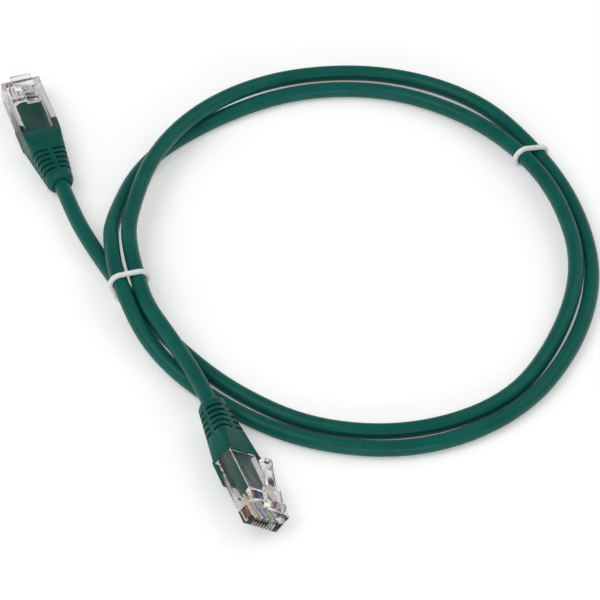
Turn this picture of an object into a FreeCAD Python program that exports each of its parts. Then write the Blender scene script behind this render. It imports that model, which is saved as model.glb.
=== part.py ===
"""Patch cable: two turns of round green cord tied twice, with a clear 8P8C plug and a ribbed boot
on each end.  Millimetres, +Z up, standing surface at z = 0, origin at the bottom centre of the
box round the two plugs and their boots."""
import FreeCAD, Part
import Sketcher
import math
import os

V = FreeCAD.Vector
X_AXIS = V(1, 0, 0)
Y_AXIS = V(0, 1, 0)
Z_AXIS = V(0, 0, 1)

doc = FreeCAD.newDocument("patch_cable")

# ---------------------------------------------------------------- driving dimensions

SIZES = [
    # cord
    ("cord_diameter", 4.6),
    # loop: an oval whose radius is coil_radius + coil_ovality * cos(2 * (angle - coil_long_axis))
    ("coil_x", 61.14),
    ("coil_y", 19.9),
    ("coil_radius", 68.7),
    ("coil_ovality", 4.6),
    ("coil_long_axis", 107),
    ("coil_start_angle", 194),
    # ties
    ("tie_width", 1.4),
    ("tie_thickness", 1.1),
    ("tie_clearance", 0.2),
    # plug housing
    ("plug_length", 22.8),
    ("plug_width", 11.68),
    ("plug_height", 6.6),
    ("plug_axis_height", 3.3),
    ("nose_face_height", 6.3),
    ("nose_slope_length", 0.3),
    ("nose_toe", 0.5),
    ("cavity_front", 8.8),
    ("cavity_width", 8.4),
    ("cavity_height", 4.8),
    ("fan_front", 5.6),
    ("fan_height", 2.4),
    # contacts and wires
    ("contact_pitch", 1.016),
    ("contact_thickness", 0.35),
    ("contact_front", 2.1),
    ("contact_rear", 5.5),
    ("contact_recess", 0.4),
    ("contact_nose", 0.5),
    ("contact_clearance", 0.12),
    ("wire_diameter", 0.9),
    ("wire_height", 3.2),
    ("wire_front", 1.3),
    ("wire_clearance", 0.04),
    ("wire_gather", 0.86),
    ("wire_stagger", 0.55),
    # cord end inside the plug
    ("jacket_front", 9.2),
    ("jacket_flat_width", 8.0),
    ("jacket_flat_height", 4.2),
    ("jacket_flat_rear", 22.0),
    ("jacket_round_front", 27.0),
    ("jacket_clearance", 0.05),
    # latch
    ("latch_hinge_x", 1.35),
    ("latch_hinge_height", 7.65),
    ("latch_hinge_radius", 1.35),
    ("latch_hinge_clearance", 0.1),
    ("latch_root_height", 8.12),
    ("latch_width", 6.0),
    ("latch_neck_width", 3.25),
    ("latch_tip_width", 3.7),
    ("latch_shoulder", 6.8),
    ("latch_length", 15.4),
    ("latch_thickness", 1.4),
    ("latch_slope", 16.2),
    ("latch_tip_length", 1.7),
    ("latch_tip_drop", 0.4),
    # boot
    ("boot_width", 11.8),
    ("boot_top", 6.65),
    ("boot_clearance", 0.03),
    ("tongue_front", 14.8),
    ("tongue_depth", 0.8),
    ("boot_corner", 0.5),
    ("boot_length", 44.5),
    ("boot_rim_diameter", 8.0),
    ("boot_rim_corner", 3.9),
    ("boot_rim_length", 1.3),
    ("boot_end_diameter", 6.4),
    ("boot_end_corner", 3.1),
    ("rib_front", 31.8),
    ("rib_pitch", 2.07),
    ("rib_slot", 0.9),
    ("rib_depth", 1.0),
    ("rib_spine", 1.3),
    # how the plugs lie: heading of each plug's rear, tilt of its rear, roll about its axis
    ("plug_a_heading", -71.4),
    ("plug_a_tilt", 0.3),
    ("plug_a_roll", -1.2),
    ("plug_b_heading", 110.77),
    ("plug_b_tilt", 1.35),
    ("plug_b_roll", 40.7),
]
CONTACTS = 8
RIBS = 5

# Routes of the two free stretches, by hand.  The first starts where the cord leaves boot A, the
# second ends where it enters boot B; their other ends are the ends of the loop.
LEAD_A = [
    (-23.51, 44.775, 4.38),
    (-20.64, 36.25, 4.42),
    (-17.06, 26.8, 4.3),
    (-10.26, 13.8, 3.6),
]
LEAD_B = [
    (2.79, -7.5, 8.4),
    (9.34, -19.35, 8.3),
    (18.1, -36.12, 7.88),
    (21.47, -45.0, 7.66),
]

sheet = doc.addObject("Spreadsheet::Sheet", "dim")
for row, (alias, value) in enumerate(SIZES, start=1):
    sheet.set("A%d" % row, alias)
    sheet.set("B%d" % row, str(value))
    sheet.setAlias("B%d" % row, alias)
doc.recompute()


def dim(name):
    return float(sheet.get(name))


# ---------------------------------------------------------------- building helpers

def bind(obj, **expressions):
    """Bind properties to the sheet; a double underscore in a keyword stands for a dot."""
    for key, text in expressions.items():
        obj.setExpression(key.replace("__", "."), text)
    return obj


def box(name, length, width, height, x, z):
    """A box centred on the plug's middle plane."""
    piece = doc.addObject("Part::Box", name)
    return bind(piece, Length=length, Width=width, Height=height,
                Placement__Base__x=x, Placement__Base__y="-(%s) / 2" % width,
                Placement__Base__z=z)


def shifted_box(name, length, width, height, x, y, z):
    """A box centred on y."""
    piece = doc.addObject("Part::Box", name)
    return bind(piece, Length=length, Width=width, Height=height,
                Placement__Base__x=x, Placement__Base__y="%s - (%s) / 2" % (y, width),
                Placement__Base__z=z)


def rod(name, axis, radius, length, x, y, z):
    piece = doc.addObject("Part::Cylinder", name)
    piece.Placement = FreeCAD.Placement(V(0, 0, 0), FreeCAD.Rotation(Z_AXIS, axis))
    return bind(piece, Radius=radius, Height=length,
                Placement__Base__x=x, Placement__Base__y=y, Placement__Base__z=z)


def fuse(name, pieces):
    union = doc.addObject("Part::MultiFuse", name)
    union.Shapes = pieces
    return union


def cut(name, base, tool):
    result = doc.addObject("Part::Cut", name)
    result.Base = base
    result.Tool = tool
    return result


def feature(name, shape):
    piece = doc.addObject("Part::Feature", name)
    piece.Shape = shape
    return piece


def origin_plane(body, role):
    return [item for item in body.Origin.OriginFeatures if item.Role == role][0]


def polygon_sketch(body, name, role, points):
    """A closed outline whose corners are pairs of sheet expressions."""
    sketch = body.newObject("Sketcher::SketchObject", name)
    sketch.AttachmentSupport = [(origin_plane(body, role), "")]
    sketch.MapMode = "FlatFace"
    count = len(points)
    around = [2 * math.pi * i / count for i in range(count)]
    corners = [V(10 * math.cos(a), 10 * math.sin(a), 0) for a in around]
    for i in range(count):
        sketch.addGeometry(Part.LineSegment(corners[i], corners[(i + 1) % count]), False)
    for i in range(count):
        sketch.addConstraint(Sketcher.Constraint("Coincident", i, 2, (i + 1) % count, 1))
    for i, (across, up) in enumerate(points):
        for kind, text, start in (("DistanceX", across, corners[i].x),
                                  ("DistanceY", up, corners[i].y)):
            index = sketch.addConstraint(Sketcher.Constraint(kind, -1, 1, i, 1, start))
            sketch.setExpression("Constraints[%d]" % index, text)
    return sketch


def padded_body(name, role, points, thickness):
    """A body with one outline padded the same way to both sides of its plane."""
    body = doc.addObject("PartDesign::Body", name)
    pad = body.newObject("PartDesign::Pad", name + "_pad")
    sketch = polygon_sketch(body, name + "_outline", role, points)
    pad.Profile = sketch
    pad.SideType = "Symmetric"
    bind(pad, Length=thickness)
    body.Tip = pad
    return body


def plug_frame(side):
    """Where plug A or B lies: its local origin is the bottom centre of its nose, local +X runs
    to the rear and local +Z to the latch.  The cord's exit from the boot fixes its place."""
    exit_point = V(*(LEAD_A[0] if side == "a" else LEAD_B[-1]))
    turn = FreeCAD.Rotation(dim("plug_%s_heading" % side), -dim("plug_%s_tilt" % side),
                            dim("plug_%s_roll" % side))
    exit_local = V(dim("boot_length"), 0, dim("plug_axis_height"))
    return FreeCAD.Placement(exit_point - turn.multVec(exit_local), turn)


def contact_y(index):
    """Height of contact or wire index across the plug, as a sheet expression."""
    return "%.1f * dim.contact_pitch" % ((CONTACTS - 1) / 2 - index)


# ---------------------------------------------------------------- cord paths

def corner_arc(before, corner, after, tangent):
    """The arc that rounds a corner, touching both runs at the given distance from it."""
    into = (corner - before).normalize()
    out = (after - corner).normalize()
    turn = into.getAngle(out)
    start = corner - into * tangent
    end = corner + out * tangent
    inward = ((start + end) * 0.5 - corner).normalize()
    middle = corner + inward * (tangent * math.tan(turn / 4))
    return Part.Arc(start, middle, end).toShape(), start, end, tangent / math.tan(turn / 2)


def free_path(points):
    """Straight runs joined by the largest arcs that the runs allow; returns edges and radii."""
    edges = []
    radii = []
    here = points[0]
    for before, corner, after in zip(points, points[1:], points[2:]):
        tangent = 0.45 * min((corner - before).Length, (after - corner).Length)
        arc, start, end, radius = corner_arc(before, corner, after, tangent)
        edges.append(Part.LineSegment(here, start).toShape())
        edges.append(arc)
        radii.append(radius)
        here = end
    edges.append(Part.LineSegment(here, points[-1]).toShape())
    return edges, radii


def biarc(p0, t0, p1, t1):
    """Two arcs from p0 along t0 to p1 along t1; returns edges and radii."""
    span = p1 - p0
    both = t0 + t1
    a = 2 * t0.dot(t1) - 2
    b = -2 * span.dot(both)
    c = span.dot(span)
    reach = (-b - math.sqrt(b * b - 4 * a * c)) / (2 * a)
    q0 = p0 + t0 * reach
    q1 = p1 - t1 * reach
    meet = (q0 + q1) * 0.5
    first, _, _, radius_0 = corner_arc(p0, q0, meet, reach)
    second, _, _, radius_1 = corner_arc(meet, q1, p1, reach)
    return [first, second], [radius_0, radius_1]


def tube(edges, radius):
    """A round tube along a path, checked against section times length."""
    path = Part.Wire(edges)
    first = edges[0]
    start = first.valueAt(first.FirstParameter)
    along = first.tangentAt(first.FirstParameter)
    ring = Part.Wire(Part.makeCircle(radius, start, along))
    solid = path.makePipeShell([ring], True, False)
    expected = math.pi * radius * radius * path.Length
    if abs(solid.Volume / expected - 1) > 0.02:
        raise ValueError("tube volume %.1f, expected %.1f" % (solid.Volume, expected))
    return solid


# ---------------------------------------------------------------- plug pieces

def make_housing(side):
    """Clear housing: wedge nose, eight contact slots, wire channels and the cord's cavity."""
    outer = padded_body(side + "_housing_outer", "XZ_Plane", [
        ("dim.nose_toe", "0"),
        ("dim.plug_length", "0"),
        ("dim.plug_length", "dim.plug_height"),
        ("dim.nose_slope_length", "dim.plug_height"),
        ("0", "dim.nose_face_height"),
        ("0", "dim.nose_toe"),
    ], "dim.plug_width")
    hollows = [
        box(side + "_cavity", "dim.plug_length - dim.cavity_front", "dim.cavity_width",
            "dim.cavity_height", "dim.cavity_front",
            "dim.plug_axis_height - dim.cavity_height / 2"),
        box(side + "_fan", "dim.cavity_front - dim.fan_front",
            "%d * dim.contact_pitch + 2 * dim.wire_clearance" % CONTACTS, "dim.fan_height",
            "dim.fan_front", "dim.wire_height - dim.fan_height / 2"),
        rod(side + "_hinge_groove", Y_AXIS, "dim.latch_hinge_radius + dim.latch_hinge_clearance",
            "dim.latch_width + 2 * dim.latch_hinge_clearance", "dim.latch_hinge_x",
            "-dim.latch_width / 2 - dim.latch_hinge_clearance", "dim.latch_hinge_height"),
    ]
    slot_width = "dim.contact_thickness + 2 * dim.contact_clearance"
    slot_height = "dim.wire_height - dim.wire_diameter / 2"
    for i in range(CONTACTS):
        hollows.append(shifted_box("%s_slot_%d" % (side, i + 1),
                                   "dim.contact_rear + dim.contact_clearance", slot_width,
                                   slot_height, "0", contact_y(i), "0"))
        hollows.append(rod("%s_channel_%d" % (side, i + 1), X_AXIS,
                           "dim.wire_diameter / 2 + dim.wire_clearance",
                           "dim.fan_front - dim.wire_front + dim.wire_clearance",
                           "dim.wire_front - dim.wire_clearance", contact_y(i),
                           "dim.wire_height"))
    return cut("plug_%s_housing" % side, outer, fuse(side + "_housing_hollows", hollows))


def make_latch(side):
    """Spring latch: a hinge roll at the nose, a wide catch with two shoulders, a narrow lever."""
    slope = "tan(dim.latch_slope)"
    under = "dim.latch_root_height - dim.latch_thickness"
    run = "(dim.latch_length - dim.latch_hinge_x)"
    tip_run = "(dim.latch_length - dim.latch_tip_length - dim.latch_hinge_x)"
    profile = padded_body(side + "_latch_side", "XZ_Plane", [
        ("dim.latch_hinge_x", under),
        ("dim.latch_length - dim.latch_tip_length", "%s + %s * %s" % (under, tip_run, slope)),
        ("dim.latch_length - dim.latch_tip_length",
         "%s + %s * %s - dim.latch_tip_drop" % (under, tip_run, slope)),
        ("dim.latch_length", "%s + %s * %s - dim.latch_tip_drop" % (under, run, slope)),
        ("dim.latch_length", "%s + dim.latch_thickness + %s * %s" % (under, run, slope)),
        ("dim.latch_hinge_x", "dim.latch_root_height"),
    ], "dim.latch_width")
    half = [
        ("0", "dim.latch_width / 2"),
        ("dim.latch_shoulder", "dim.latch_width / 2"),
        ("dim.latch_shoulder", "dim.latch_neck_width / 2"),
        ("dim.latch_length - dim.latch_tip_length", "dim.latch_neck_width / 2"),
        ("dim.latch_length - dim.latch_tip_length", "dim.latch_tip_width / 2"),
        ("dim.latch_length + dim.latch_tip_length", "dim.latch_tip_width / 2"),
    ]
    mirrored = [(x, "-(%s)" % y) for x, y in reversed(half)]
    plan = padded_body(side + "_latch_plan", "XY_Plane", half + mirrored,
                       "4 * dim.plug_height")
    lever = doc.addObject("Part::Common", side + "_latch_lever")
    lever.Base = profile
    lever.Tool = plan
    roll = rod(side + "_latch_roll", Y_AXIS, "dim.latch_hinge_radius", "dim.latch_width",
               "dim.latch_hinge_x", "-dim.latch_width / 2", "dim.latch_hinge_height")
    return fuse("plug_%s_latch" % side, [lever, roll])


def make_contacts(side):
    """Eight flat blades with a rounded-off front corner, standing in the slots."""
    blades = []
    top = "dim.wire_height - dim.wire_diameter / 2 - dim.wire_clearance"
    for i in range(CONTACTS):
        blade = padded_body("%s_blade_%d" % (side, i + 1), "XZ_Plane", [
            ("dim.contact_front + dim.contact_nose", "dim.contact_recess"),
            ("dim.contact_rear", "dim.contact_recess"),
            ("dim.contact_rear", top),
            ("dim.contact_front", top),
            ("dim.contact_front", "dim.contact_recess + dim.contact_nose"),
        ], "dim.contact_thickness")
        bind(blade, Placement__Base__y=contact_y(i))
        blades.append(blade)
    contacts = doc.addObject("Part::Compound", "plug_%s_contacts" % side)
    contacts.Links = blades
    return contacts


def make_wire(side, index):
    """One insulated conductor, from over its blade back to the cord's flattened end."""
    across = ((CONTACTS - 1) / 2 - index) * dim("contact_pitch")
    gathered = across * dim("wire_gather")
    height = dim("wire_height")
    rear_height = height + dim("wire_stagger") * (1 if index % 2 else -1)
    front = dim("wire_front")
    bend = dim("fan_front")
    rear = dim("jacket_front")
    third = (rear - bend) / 3
    edges, _ = free_path([
        V(front, across, height),
        V(bend + 0.5 * third, across, height),
        V(rear - 0.7 * third, gathered, rear_height),
        V(rear, gathered, rear_height),
    ])
    return feature("plug_%s_wire_%d" % (side, index + 1), tube(edges, dim("wire_diameter") / 2))


def stadium(width, height, x, z):
    """A flat-sided oval outline across the plug's axis."""
    r = height / 2
    y = width / 2 - r
    return Part.Wire([
        Part.LineSegment(V(x, -y, z + r), V(x, y, z + r)).toShape(),
        Part.Arc(V(x, y, z + r), V(x, y + r, z), V(x, y, z - r)).toShape(),
        Part.LineSegment(V(x, y, z - r), V(x, -y, z - r)).toShape(),
        Part.Arc(V(x, -y, z - r), V(x, -y - r, z), V(x, -y, z + r)).toShape(),
    ])


def jacket_shape(clearance):
    """The cord's end inside boot and plug: round in the boot, pressed flat in the plug."""
    z = dim("plug_axis_height")
    width = dim("jacket_flat_width") + 2 * clearance
    height = dim("jacket_flat_height") + 2 * clearance
    round_size = dim("cord_diameter") + 2 * clearance
    flat = Part.Face(stadium(width, height, dim("jacket_front"), z))
    flat = flat.extrude(V(dim("jacket_flat_rear") - dim("jacket_front"), 0, 0))
    sections = [
        stadium(width, height, dim("jacket_flat_rear"), z),
        stadium(round_size + 0.02, round_size, dim("jacket_round_front"), z),
    ]
    taper = Part.makeLoft(sections, True, True)
    rear = Part.Face(stadium(round_size + 0.02, round_size, dim("jacket_round_front"), z))
    rear = rear.extrude(V(dim("boot_length") - dim("jacket_round_front"), 0, 0))
    return flat.fuse([taper, rear]).removeSplitter()


def rounded_sketch(body, name, station, width, top, bottom, corner):
    """A rounded rectangle across the plug's axis, at a distance from the nose."""
    sketch = body.newObject("Sketcher::SketchObject", name)
    sketch.AttachmentSupport = [(origin_plane(body, "YZ_Plane"), "")]
    sketch.MapMode = "FlatFace"
    sketch.setExpression("AttachmentOffset.Base.z", station)
    signs = [(1, 1), (-1, 1), (-1, -1), (1, -1)]
    for i, (sx, sy) in enumerate(signs):
        arc = Part.ArcOfCircle(Part.Circle(V(3 * sx, 3 + 3 * sy, 0), Z_AXIS, 1),
                               i * math.pi / 2, (i + 1) * math.pi / 2)
        sketch.addGeometry(arc, False)
    for i in range(4):
        start = sketch.getPoint(i, 2)
        end = sketch.getPoint((i + 1) % 4, 1)
        sketch.addGeometry(Part.LineSegment(start, end), False)
    for i in range(4):
        sketch.addConstraint(Sketcher.Constraint("Tangent", i, 2, i + 4, 1))
        sketch.addConstraint(Sketcher.Constraint("Tangent", i + 4, 2, (i + 1) % 4, 1))
    for i, (sx, sy) in enumerate(signs):
        across = "%d * ((%s) / 2 - (%s))" % (sx, width, corner)
        up = "(%s) - (%s)" % (top, corner) if sy > 0 else "(%s) + (%s)" % (bottom, corner)
        for kind, text, start in (("DistanceX", across, 3.0 * sx),
                                  ("DistanceY", up, 3.0 + 3.0 * sy)):
            index = sketch.addConstraint(Sketcher.Constraint(kind, -1, 1, i, 3, start))
            sketch.setExpression("Constraints[%d]" % index, text)
        index = sketch.addConstraint(Sketcher.Constraint("Radius", i, 1.0))
        sketch.setExpression("Constraints[%d]" % index, corner)
    return sketch


def boot_loft(name, inset):
    """The boot's tapering outside, from a squared front to a round rim, less an inset."""
    body = doc.addObject("PartDesign::Body", name)
    middle = "dim.plug_axis_height"
    rim = "dim.boot_rim_diameter / 2 - %s" % inset
    end = "dim.boot_end_diameter / 2 - %s" % inset
    sections = [
        rounded_sketch(body, name + "_front", "dim.plug_length + dim.boot_clearance",
                       "dim.boot_width - 2 * %s" % inset, "dim.boot_top - %s" % inset,
                       "-dim.tongue_depth + %s" % inset, "dim.boot_corner"),
        rounded_sketch(body, name + "_rim", "dim.boot_length - dim.boot_rim_length",
                       "2 * (%s)" % rim, "%s + %s" % (middle, rim), "%s - (%s)" % (middle, rim),
                       "dim.boot_rim_corner - %s" % inset),
        rounded_sketch(body, name + "_end", "dim.boot_length",
                       "2 * (%s)" % end, "%s + %s" % (middle, end), "%s - (%s)" % (middle, end),
                       "dim.boot_end_corner - %s" % inset),
    ]
    doc.recompute()
    loft = body.newObject("PartDesign::AdditiveLoft", name + "_loft")
    loft.Profile = sections[0]
    loft.Sections = sections[1:]
    loft.Ruled = True
    body.Tip = loft
    return body


def make_boot(side):
    """Boot: a squared block behind the plug with a tongue under it, tapering past five rows of
    slots, parted by a spine along the middle of each face, to a rounded rim."""
    tongue = box(side + "_boot_tongue", "dim.plug_length - dim.tongue_front + 1",
                 "dim.boot_width", "dim.tongue_depth - dim.boot_clearance",
                 "dim.tongue_front", "-dim.tongue_depth")
    shell = fuse(side + "_boot_shell", [boot_loft(side + "_boot_outside", "0"), tongue])
    slabs = []
    for i in range(RIBS):
        slabs.append(box("%s_rib_slot_%d" % (side, i + 1), "dim.rib_slot",
                         "2 * dim.plug_width", "3 * dim.plug_height",
                         "dim.rib_front + %d * dim.rib_pitch" % i, "-dim.plug_height"))
    core = boot_loft(side + "_boot_core", "dim.rib_depth")
    spines = [
        box(side + "_boot_spine_upright", "dim.boot_length - dim.rib_front", "dim.rib_spine",
            "3 * dim.plug_height", "dim.rib_front", "-dim.plug_height"),
        box(side + "_boot_spine_level", "dim.boot_length - dim.rib_front",
            "2 * dim.plug_width", "dim.rib_spine", "dim.rib_front",
            "dim.plug_axis_height - dim.rib_spine / 2"),
    ]
    slots = cut(side + "_rib_slots", fuse(side + "_slabs", slabs),
                fuse(side + "_rib_keep", [core] + spines))
    bore = feature(side + "_boot_bore", jacket_shape(dim("jacket_clearance")))
    return cut("plug_%s_boot" % side, shell, fuse(side + "_boot_hollows", [slots, bore]))


def make_plug(side):
    """All pieces of one plug and boot, laid where they lie."""
    pieces = [make_housing(side), make_latch(side), make_contacts(side), make_boot(side)]
    pieces += [make_wire(side, i) for i in range(CONTACTS)]
    pieces.append(feature("plug_%s_jacket_end" % side, jacket_shape(0)))
    place = plug_frame(side)
    for piece in pieces:
        piece.Placement = place
    return pieces


# ---------------------------------------------------------------- cord

def coil_lay():
    """Hand-set lay of the two turns from the first tie round to it again: the angle travelled,
    how far out of the oval the cord lies there, and its height."""
    rest = dim("cord_diameter") / 2
    lifted = rest + dim("tie_thickness") + dim("tie_clearance")
    top = lifted + dim("cord_diameter") + 0.2
    return [
        (1.75, 3.0, lifted), (22.5, -2.5, rest + 0.2),
        (45, -4.15, rest), (67.5, -3.0, rest),
        (90, -1.9, rest), (112.5, -0.85, rest),
        (135, -2.35, 2.7), (157.5, -1.0, 5.0),
        (180, -1.8, 5.85), (201.4, -2.8, 5.4),
        (225, -3.15, 3.2), (247.5, -3.85, rest),
        (270, -5.0, rest), (292.5, -4.4, rest),
        (315, 1.0, rest), (337.5, 3.5, 5.6),
        (349, 4.3, top - 0.15),
        (361.75, 4.5, top), (382.5, 4.15, 4.3),
        (405, 2.1, rest), (427.5, 3.0, rest),
        (450, 4.6, rest), (472.5, 4.3, rest),
        (495, 3.0, rest + 0.1), (517.5, 3.55, 2.55),
        (540, 2.7, 3.2), (561.4, 2.2, lifted),
        (585, 4.4, 2.7), (607.5, 3.5, 2.4),
        (630, 1.3, 3.2), (652.5, -2.4, 7.0),
        (675, -2.6, top), (697.5, -1.5, top),
        (709, -0.85, top), (721.75, -0.65, top),
    ]


def between(before, here, after):
    """Heading at a point: in plan that of the circle through three points, in height level at
    humps and hollows and between the two slopes on a climb."""
    into = V(here.x - before.x, here.y - before.y, 0)
    out = V(after.x - here.x, after.y - here.y, 0)
    heading = into * (out.Length / into.Length) + out * (into.Length / out.Length)
    heading.normalize()
    rise_in = (here.z - before.z) / into.Length
    rise_out = (after.z - here.z) / out.Length
    if rise_in * rise_out > 0:
        heading.z = 2 * rise_in * rise_out / (rise_in + rise_out)
    return heading.normalize()


def coil_path(lead_in, lead_out):
    """The two turns as biarcs through the stations, with a short straight in line with each
    lead.  Returns edges, the stations with their headings, and the radii."""
    centre = V(dim("coil_x"), dim("coil_y"), 0)
    points = []
    for travelled, out, height in coil_lay():
        angle = math.radians(dim("coil_start_angle") + travelled)
        lean = angle - math.radians(dim("coil_long_axis"))
        radius = dim("coil_radius") + dim("coil_ovality") * math.cos(2 * lean) + out
        points.append(centre + V(radius * math.cos(angle), radius * math.sin(angle), height))
    headings = [between(*three) for three in zip(points, points[1:], points[2:])]
    headings.insert(0, (points[0] - V(*lead_in)).normalize())
    headings.append((V(*lead_out) - points[-1]).normalize())
    first = points[0] + headings[0] * dim("cord_diameter")
    last = points[-1] - headings[-1] * dim("cord_diameter")
    bends = [first] + points[1:-1] + [last]
    edges = [Part.LineSegment(points[0], first).toShape()]
    radii = []
    for i in range(len(bends) - 1):
        arcs, pair = biarc(bends[i], headings[i], bends[i + 1], headings[i + 1])
        edges += arcs
        radii += pair
    edges.append(Part.LineSegment(last, points[-1]).toShape())
    return edges, points, headings, radii


def least_gap(edges, diameter):
    """Least gap of the coil to itself, from points along it more than a tenth of a turn apart."""
    wire = Part.Wire(edges)
    points = wire.discretize(Distance=1.0)
    apart = int(0.1 * math.pi * 2 * dim("coil_radius"))
    least = min((points[i] - points[j]).Length
                for i in range(len(points)) for j in range(i + apart, len(points)))
    return least - diameter


def hull_outline(centres, radius):
    """The band round several equal circles: arcs about the centres joined by tangent lines.
    The centres run anticlockwise in a plane, as (across, up) pairs."""
    count = len(centres)
    edges = []
    normals = []
    for i in range(count):
        ax, ay = centres[i]
        bx, by = centres[(i + 1) % count]
        length = math.hypot(bx - ax, by - ay)
        normals.append(((by - ay) / length, (ax - bx) / length))
    for i in range(count):
        ax, ay = centres[i]
        bx, by = centres[(i + 1) % count]
        nx, ny = normals[i]
        mx, my = normals[(i + 1) % count]
        edges.append(Part.LineSegment(V(ax + radius * nx, ay + radius * ny, 0),
                                      V(bx + radius * nx, by + radius * ny, 0)).toShape())
        sx, sy = (nx + mx), (ny + my)
        if math.hypot(sx, sy) < 0.01:
            sx, sy = (bx - ax), (by - ay)
        scale = radius / math.hypot(sx, sy)
        edges.append(Part.Arc(V(bx + radius * nx, by + radius * ny, 0),
                              V(bx + scale * sx, by + scale * sy, 0),
                              V(bx + radius * mx, by + radius * my, 0)).toShape())
    return Part.Wire(edges)


def make_tie(name, strands, along):
    """A closed band with rounded edges round the strands that cross its plane."""
    along = V(along.x, along.y, 0).normalize()
    across = V(along.y, -along.x, 0)
    base = strands[0]
    flat = [((p - base).dot(across), p.z) for p in strands]
    middle = (sum(p[0] for p in flat) / len(flat), sum(p[1] for p in flat) / len(flat))
    flat.sort(key=lambda p: math.atan2(p[1] - middle[1], p[0] - middle[0]))
    inner = dim("cord_diameter") / 2 + dim("tie_clearance")
    outer = inner + dim("tie_thickness")
    width = dim("tie_width")
    ring = Part.Face(hull_outline(flat, outer)).extrude(V(0, 0, width))
    hole = Part.Face(hull_outline(flat, inner)).extrude(V(0, 0, width))
    rims = [edge for edge in ring.Edges
            if abs(edge.BoundBox.ZMax - edge.BoundBox.ZMin) < 0.01]
    band = ring.makeFillet(0.42 * width, rims).cut(hole)
    turn = FreeCAD.Rotation(across, Z_AXIS, -along, "ZXY")
    place = FreeCAD.Placement(V(base.x, base.y, 0) + along * (width / 2), turn)
    piece = feature(name, band)
    piece.Placement = place
    return piece


def make_cord():
    """The two leads, the loop and the two ties."""
    radius = dim("cord_diameter") / 2
    edges, stations, headings, coil_radii = coil_path(LEAD_A[-1], LEAD_B[0])
    travelled = [row[0] for row in coil_lay()]
    edges_a, radii_a = free_path([V(*p) for p in LEAD_A] + [stations[0]])
    edges_b, radii_b = free_path([stations[-1]] + [V(*p) for p in LEAD_B])
    pieces = [
        feature("cable_lead_a", tube(edges_a, radius)),
        feature("cable_coil", tube(edges, radius)),
        feature("cable_lead_b", tube(edges_b, radius)),
    ]
    for name, places in (("tie_1", (1.75, 361.75, 721.75)), ("tie_2", (201.4, 561.4))):
        rows = [travelled.index(place) for place in places]
        pieces.append(make_tie(name, [stations[i] for i in rows], headings[rows[1]]))
    for name, radii in (("lead A", radii_a), ("lead B", radii_b), ("the coil", coil_radii)):
        print("radii of", name, [round(r, 1) for r in radii])
    print("least gap of the coil to itself %.2f" % least_gap(edges, 2 * radius))
    lengths = [Part.Wire(path).Length for path in (edges_a, edges, edges_b)]
    inside = dim("boot_length") - dim("jacket_front")
    print("cord lengths", [round(x, 1) for x in lengths], "between boots %.1f" % sum(lengths),
          "with the ends in the plugs %.1f" % (sum(lengths) + 2 * inside))
    return pieces


# ---------------------------------------------------------------- build, check and write

subparts = make_plug("a") + make_plug("b") + make_cord()
doc.recompute()

for item in doc.Objects:
    if "Invalid" in item.State or "Error" in item.State:
        raise RuntimeError("%s failed: %s" % (item.Name, item.State))
for piece in subparts:
    if piece.Shape.isNull() or not piece.Shape.isValid():
        raise RuntimeError("%s has no valid shape" % piece.Name)

os.makedirs("parts", exist_ok=True)
for piece in subparts:
    piece.Label = piece.Name
    piece.Shape.exportStep("parts/%s.step" % piece.Label)
    print(piece.Label, len(piece.Shape.Solids), "solid(s), %.2f mm3" % piece.Shape.Volume)
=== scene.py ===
"""Looks of the patch cable: the cord as one smooth curve, rounded plastic pieces made from the
CAD solids, and procedural materials.  Metres, in the CAD frame."""
import bpy
import bmesh
import math
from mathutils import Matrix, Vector


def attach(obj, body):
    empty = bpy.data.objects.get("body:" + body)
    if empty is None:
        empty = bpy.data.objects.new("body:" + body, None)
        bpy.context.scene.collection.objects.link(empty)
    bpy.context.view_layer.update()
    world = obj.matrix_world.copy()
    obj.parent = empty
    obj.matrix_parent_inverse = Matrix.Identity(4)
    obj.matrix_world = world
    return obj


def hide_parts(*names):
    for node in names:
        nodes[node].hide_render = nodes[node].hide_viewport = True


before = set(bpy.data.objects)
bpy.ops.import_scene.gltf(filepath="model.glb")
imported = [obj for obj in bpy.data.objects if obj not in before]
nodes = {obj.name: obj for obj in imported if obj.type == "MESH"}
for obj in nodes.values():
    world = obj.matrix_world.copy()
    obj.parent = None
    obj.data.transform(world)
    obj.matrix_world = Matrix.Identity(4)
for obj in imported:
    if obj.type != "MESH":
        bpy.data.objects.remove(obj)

MM = 0.001
scene = bpy.context.scene


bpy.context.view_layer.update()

# ---------------------------------------------------------------- camera

camera = bpy.data.objects.new("camera", bpy.data.cameras.new("camera"))
scene.collection.objects.link(camera)
LOOK_AT = Vector((0.04614, 0.0024, 0.0))
ELEVATION = math.radians(46.0)
DISTANCE = 1.150
camera.location = LOOK_AT + DISTANCE * Vector((0, -math.cos(ELEVATION), math.sin(ELEVATION)))
camera.rotation_euler = (math.pi / 2 - ELEVATION, 0, 0)
camera.data.sensor_width = 36.0
camera.data.lens = 241.5
camera.data.clip_start = 0.05
camera.data.clip_end = 20.0
scene.camera = camera

# ---------------------------------------------------------------- cord

CORD = 4.6
REST = CORD / 2
LIFTED = REST + 1.3
TOP = LIFTED + CORD + 0.2

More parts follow.
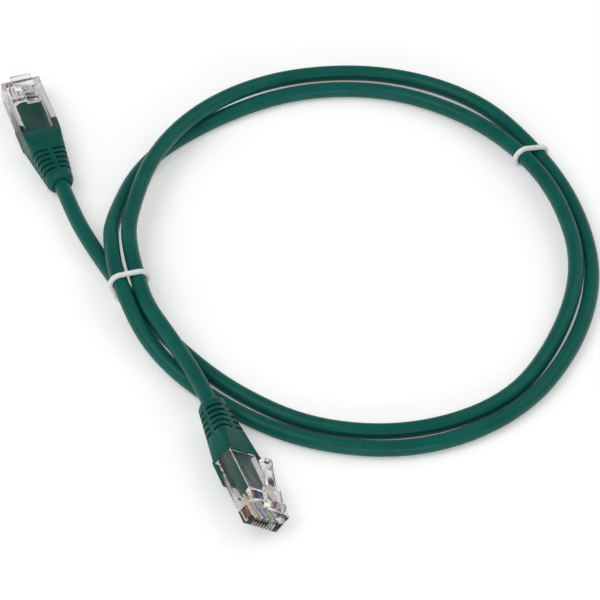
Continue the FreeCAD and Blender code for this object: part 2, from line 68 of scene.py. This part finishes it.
# Route of the cord in mm, the same points as the CAD's: two free stretches listed point by point,
# and between them two turns of an oval, given as (degrees travelled, how far out of the oval,
# height).
LEAD_A = [
    (-23.51, 44.775, 4.38),
    (-20.64, 36.25, 4.42),
    (-17.06, 26.8, 4.3),
    (-10.26, 13.8, 3.6),
]
LEAD_B = [
    (2.79, -7.5, 8.4),
    (9.34, -19.35, 8.3),
    (18.1, -36.12, 7.88),
    (21.47, -45.0, 7.66),
]
COIL_LAY = [
    (1.75, 3.0, LIFTED), (22.5, -2.5, REST + 0.2),
    (45, -4.15, REST), (67.5, -3.0, REST),
    (90, -1.9, REST), (112.5, -0.85, REST),
    (135, -2.35, 2.7), (157.5, -1.0, 5.0),
    (180, -1.8, 5.85), (201.4, -2.8, 5.4),
    (225, -3.15, 3.2), (247.5, -3.85, REST),
    (270, -5.0, REST), (292.5, -4.4, REST),
    (315, 1.0, REST), (337.5, 3.5, 5.6),
    (349, 4.3, TOP - 0.15),
    (361.75, 4.5, TOP), (382.5, 4.15, 4.3),
    (405, 2.1, REST), (427.5, 3.0, REST),
    (450, 4.6, REST), (472.5, 4.3, REST),
    (495, 3.0, REST + 0.1), (517.5, 3.55, 2.55),
    (540, 2.7, 3.2), (561.4, 2.2, LIFTED),
    (585, 4.4, 2.7), (607.5, 3.5, 2.4),
    (630, 1.3, 3.2), (652.5, -2.4, 7.0),
    (675, -2.6, TOP), (697.5, -1.5, TOP),
    (709, -0.85, TOP), (721.75, -0.65, TOP),
]
CENTRE = Vector((61.14, 19.9, 0))
RADIUS = 68.7
OVALITY = 4.6
LONG_AXIS = math.radians(107)
START_ANGLE = 194


def coil_points():
    """The turns' points, each set out from the line between its neighbours by a quarter of its
    distance to it, because the spline passes inside its points by about that much."""
    ring = []
    for travelled, out, height in COIL_LAY:
        angle = math.radians(START_ANGLE + travelled)
        radius = RADIUS + OVALITY * math.cos(2 * (angle - LONG_AXIS)) + out
        ring.append(CENTRE + Vector((radius * math.cos(angle), radius * math.sin(angle), height)))
    points = [ring[0]]
    for before, here, after in zip(ring, ring[1:], ring[2:]):
        point = here + (here - (before + after) / 2) / 4
        point.z = max(point.z, REST)
        points.append(point)
    return points + [ring[-1]]


route = [Vector(p) for p in LEAD_A] + coil_points() + [Vector(p) for p in LEAD_B]
curve = bpy.data.curves.new("cord", "CURVE")
curve.dimensions = "3D"
spline = curve.splines.new("NURBS")
spline.points.add(len(route) - 1)
for point, place in zip(spline.points, route):
    point.co = (*(place * MM), 1)
spline.order_u = 3
spline.use_endpoint_u = True
curve.resolution_u = 8
curve.bevel_depth = CORD / 2 * MM
curve.bevel_resolution = 7
cord = bpy.data.objects.new("cord", curve)
scene.collection.objects.link(cord)

# ---------------------------------------------------------------- material helpers


class Nodes:
    """Short calls for one material's node tree."""

    def __init__(self, name):
        self.material = bpy.data.materials.new(name)
        self.material.use_nodes = True
        self.tree = self.material.node_tree
        self.shader = self.tree.nodes["Principled BSDF"]
        self.place = self.add("ShaderNodeTexCoord").outputs["Object"]

    def add(self, kind, **settings):
        node = self.tree.nodes.new(kind)
        for key, value in settings.items():
            setattr(node, key, value)
        return node

    def link(self, source, target):
        self.tree.links.new(source, target)

    def set(self, **values):
        for key, value in values.items():
            self.shader.inputs[key.replace("_", " ")].default_value = value

    def noise(self, scale, detail=3.0, rough=0.5, stretch=None):
        texture = self.add("ShaderNodeTexNoise")
        texture.inputs["Scale"].default_value = scale
        texture.inputs["Detail"].default_value = detail
        texture.inputs["Roughness"].default_value = rough
        source = self.place
        if stretch:
            mapping = self.add("ShaderNodeMapping")
            mapping.inputs["Scale"].default_value = stretch
            self.link(source, mapping.inputs["Vector"])
            source = mapping.outputs["Vector"]
        self.link(source, texture.inputs["Vector"])
        return texture.outputs["Fac"]

    def ramp(self, value, low, high, start=0.3, end=0.7):
        """Colours from low to high as a value goes from start to end."""
        ramp = self.add("ShaderNodeValToRGB")
        ramp.color_ramp.elements[0].position = start
        ramp.color_ramp.elements[0].color = (*low, 1)
        ramp.color_ramp.elements[1].position = end
        ramp.color_ramp.elements[1].color = (*high, 1)
        self.link(value, ramp.inputs["Fac"])
        return ramp.outputs["Color"]

    def span(self, value, low, high, start=0.3, end=0.7):
        """A number from low to high as a value goes from start to end."""
        span = self.add("ShaderNodeMapRange")
        for key, number in (("From Min", start), ("From Max", end),
                            ("To Min", low), ("To Max", high)):
            span.inputs[key].default_value = number
        self.link(value, span.inputs["Value"])
        return span.outputs["Result"]

    def bumps(self, *layers):
        """Bump from (height, distance) layers, one over the other."""
        normal = None
        for height, distance in layers:
            bump = self.add("ShaderNodeBump")
            bump.inputs["Strength"].default_value = 1.0
            bump.inputs["Distance"].default_value = distance
            self.link(height, bump.inputs["Height"])
            if normal:
                self.link(normal, bump.inputs["Normal"])
            normal = bump.outputs["Normal"]
        self.link(normal, self.shader.inputs["Normal"])

    def color(self, output):
        self.link(output, self.shader.inputs["Base Color"])

    def roughness(self, output):
        self.link(output, self.shader.inputs["Roughness"])


def pvc(name, dark, light, rough, fine):
    """Moulded or drawn green PVC: slow colour change, soft gloss, a fine skin and slow waves."""
    m = Nodes(name)
    m.color(m.ramp(m.noise(90.0), dark, light))
    m.roughness(m.span(m.noise(420.0), rough[0], rough[1]))
    m.bumps((m.noise(260.0, 2.0), 0.00004), (m.noise(fine, 4.0), 0.000012))
    m.set(Specular_IOR_Level=0.16, IOR=1.5)
    return m.material


jacket_green = pvc("jacket_green", (0.0028, 0.088, 0.070), (0.0046, 0.110, 0.090), (0.26, 0.38),
                   5200.0)
boot_green = pvc("boot_green", (0.0018, 0.076, 0.060), (0.0034, 0.094, 0.075), (0.3, 0.44),
                 4200.0)


def clear_plastic(name):
    """Clear polycarbonate: grey-tinted, slightly wavy and with faint frost."""
    m = Nodes(name)
    m.set(Transmission_Weight=1.0, IOR=1.3, Specular_IOR_Level=0.4)
    m.color(m.ramp(m.noise(150.0), (0.85, 0.83, 0.825), (0.92, 0.905, 0.90)))
    m.roughness(m.span(m.noise(700.0), 0.04, 0.12))
    m.bumps((m.noise(380.0, 2.0), 0.00005), (m.noise(6000.0, 3.0), 0.000006))
    return m.material


housing_clear = clear_plastic("housing_clear")
latch_clear = clear_plastic("latch_clear")


def gold():
    """Gold flash on the contact blades, dark and brushed along them."""
    m = Nodes("contact_gold")
    m.set(Metallic=1.0)
    m.color(m.ramp(m.noise(900.0), (0.20, 0.11, 0.07), (0.36, 0.22, 0.13)))
    m.roughness(m.span(m.noise(2500.0, stretch=(1, 1, 0.1)), 0.18, 0.36))
    m.bumps((m.noise(9000.0, stretch=(1, 1, 0.05)), 0.000004))
    return m.material


contact_gold = gold()


def soft_white():
    """Soft white plastic of the ties."""
    m = Nodes("tie_white")
    m.color(m.ramp(m.noise(500.0), (0.74, 0.75, 0.76), (0.84, 0.85, 0.86)))
    m.roughness(m.span(m.noise(900.0), 0.38, 0.55))
    m.bumps((m.noise(1200.0, 3.0), 0.00003), (m.noise(8000.0), 0.000008))
    m.set(Specular_IOR_Level=0.5, Subsurface_Weight=0.05)
    return m.material


tie_white = soft_white()


def wire(name, dark, light):
    """Wire insulation: polyethylene with draw lines."""
    m = Nodes(name)
    m.color(m.ramp(m.noise(1500.0), dark, light))
    m.roughness(m.span(m.noise(3000.0), 0.3, 0.45))
    m.bumps((m.noise(7000.0, stretch=(1, 0.2, 1)), 0.000006))
    return m.material


WIRES = {
    "white_orange": ((0.80, 0.62, 0.45), (0.88, 0.78, 0.66)),
    "orange": ((0.62, 0.19, 0.03), (0.75, 0.26, 0.05)),
    "white_green": ((0.62, 0.78, 0.62), (0.80, 0.88, 0.78)),
    "blue": ((0.04, 0.09, 0.40), (0.07, 0.14, 0.55)),
    "white_blue": ((0.62, 0.70, 0.85), (0.80, 0.84, 0.92)),
    "green": ((0.02, 0.22, 0.10), (0.03, 0.32, 0.14)),
    "white_brown": ((0.78, 0.66, 0.58), (0.88, 0.80, 0.74)),
    "brown": ((0.22, 0.08, 0.05), (0.32, 0.13, 0.08)),
}
wire_materials = [wire("wire_" + name, *shades) for name, shades in WIRES.items()]


# ---------------------------------------------------------------- pieces

def wear(name, material):
    """Puts a material in a CAD node's slots."""
    data = nodes[name].data
    data.materials.clear()
    data.materials.append(material)


WELD = 0.002 * MM
FLAT = math.radians(1.0)
SHARP = math.radians(35)


def rounded(node, body, material, width):
    """A copy of a CAD node with its moulded edges rounded, standing for it."""
    mesh = nodes[node].data.copy()
    mesh.name = node + "_rounded"
    form = bmesh.new()
    form.from_mesh(mesh)
    bmesh.ops.remove_doubles(form, verts=form.verts, dist=WELD)
    bmesh.ops.dissolve_limit(form, angle_limit=FLAT, verts=form.verts,
                             edges=form.edges)
    form.to_mesh(mesh)
    form.free()
    mesh.materials.clear()
    mesh.materials.append(material)
    piece = bpy.data.objects.new(node + "_rounded", mesh)
    scene.collection.objects.link(piece)
    bevel = piece.modifiers.new("edges", "BEVEL")
    bevel.width = width
    bevel.segments = 2
    bevel.limit_method = "ANGLE"
    bevel.angle_limit = SHARP
    bevel.use_clamp_overlap = True
    bevel.harden_normals = True
    for face in mesh.polygons:
        face.use_smooth = True
    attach(piece, body)
    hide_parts(node)
    return piece


HOUSING_EDGE = 0.12 * MM
LATCH_EDGE = 0.15 * MM
BOOT_EDGE = 0.18 * MM
for side in "ab":
    rounded("plug_%s_housing" % side, "cable", housing_clear, HOUSING_EDGE)
    rounded("plug_%s_latch" % side, "latch_%s" % side, latch_clear, LATCH_EDGE)
    rounded("plug_%s_boot" % side, "cable", boot_green, BOOT_EDGE)
    wear("plug_%s_contacts" % side, contact_gold)
    wear("plug_%s_jacket_end" % side, jacket_green)
    for i, material in enumerate(wire_materials):
        wear("plug_%s_wire_%d" % (side, i + 1), material)
for name in ("tie_1", "tie_2"):
    wear(name, tie_white)

curve.materials.append(jacket_green)
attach(cord, "cable")
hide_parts("cable_lead_a", "cable_coil", "cable_lead_b")

# ---------------------------------------------------------------- floor and light

floor_mesh = bpy.data.meshes.new("floor")
FLOOR_HALF = 4.0
FLOOR_DROP = 0.05 * MM
FLOOR_GLOW = 0.27
floor_mesh.from_pydata([(x * FLOOR_HALF, y * FLOOR_HALF, 0)
                        for x, y in ((-1, -1), (1, -1), (1, 1), (-1, 1))], [], [(0, 1, 2, 3)])
floor = bpy.data.objects.new("floor", floor_mesh)
floor.location.z = -FLOOR_DROP
scene.collection.objects.link(floor)


def floor_material():
    """Pale matt floor, seen as nearly white but keeping the shadows."""
    m = Nodes("floor")
    m.color(m.ramp(m.noise(30.0), (0.86, 0.86, 0.86), (0.88, 0.88, 0.88)))
    m.set(Roughness=0.85, Specular_IOR_Level=0.1)
    path = m.add("ShaderNodeLightPath")
    seen = m.add("ShaderNodeMath", operation="MAXIMUM")
    m.link(path.outputs["Is Camera Ray"], seen.inputs[0])
    bent = m.add("ShaderNodeMath", operation="MAXIMUM")
    m.link(path.outputs["Is Glossy Ray"], bent.inputs[0])
    m.link(path.outputs["Is Transmission Ray"], bent.inputs[1])
    m.link(bent.outputs[0], seen.inputs[1])
    glow = m.add("ShaderNodeMath", operation="MULTIPLY")
    m.link(seen.outputs[0], glow.inputs[0])
    glow.inputs[1].default_value = FLOOR_GLOW
    m.shader.inputs["Emission Color"].default_value = (1, 1, 1, 1)
    m.link(glow.outputs[0], m.shader.inputs["Emission Strength"])
    return m.material


floor_mesh.materials.append(floor_material())

world = bpy.data.worlds.new("studio")
scene.world = world
world.use_nodes = True
sky = world.node_tree
background = sky.nodes["Background"]
background.inputs["Color"].default_value = (1, 1, 1, 1)
AMBIENT = 0.52


def sky_node(kind, **settings):
    node = sky.nodes.new(kind)
    for key, value in settings.items():
        setattr(node, key, value)
    return node


def sky_span(value, *numbers):
    span = sky_node("ShaderNodeMapRange")
    for key, number in zip(("From Min", "From Max", "To Min", "To Max"), numbers):
        span.inputs[key].default_value = number
    sky.links.new(value, span.inputs["Value"])
    return span.outputs["Result"]


def sky_blend(share, low, high):
    """A number from low to high; either may be a constant or another node's output."""
    blend = sky_node("ShaderNodeMix")
    sky.links.new(share, blend.inputs["Factor"])
    for key, end in (("A", low), ("B", high)):
        if isinstance(end, float):
            blend.inputs[key].default_value = end
        else:
            sky.links.new(end, blend.inputs[key])
    return blend.outputs["Result"]


path = sky_node("ShaderNodeLightPath")
facing = sky_node("ShaderNodeSeparateXYZ")
sky.links.new(sky_node("ShaderNodeTexCoord").outputs["Generated"], facing.inputs["Vector"])
# A studio's sky, bright along the horizon and dark above, for mirrored and refracted rays.
mirrored = sky_span(facing.outputs["Z"], 0.02, 0.5, 0.8, 0.09)
through = sky_span(facing.outputs["Z"], 0.1, 0.6, 1.0, 0.35)
level = sky_blend(path.outputs["Is Glossy Ray"], AMBIENT, mirrored)
level = sky_blend(path.outputs["Is Transmission Ray"], level, through)
level = sky_blend(path.outputs["Is Camera Ray"], level, 1.0)
sky.links.new(level, background.inputs["Strength"])


MIDDLE = Vector((0.047, 0.0, 0.0))


def softbox(name, place, size, power):
    """A rectangular lamp that faces the middle of the cable."""
    light = bpy.data.lights.new(name, "AREA")
    light.shape = "RECTANGLE"
    light.size, light.size_y = size
    light.energy = power
    lamp = bpy.data.objects.new(name, light)
    lamp.location = place
    lamp.rotation_euler = (MIDDLE - Vector(place)).to_track_quat("-Z", "Y").to_euler()
    scene.collection.objects.link(lamp)


softbox("key", (-0.5, -0.2, 0.9), (0.7, 0.7), 3.4)
softbox("fill", (0.7, 0.4, 0.8), (0.8, 0.8), 1.6)
softbox("front", (0.1, -1.2, 0.38), (1.3, 0.3), 4.0)

scene.view_settings.view_transform = "Standard"
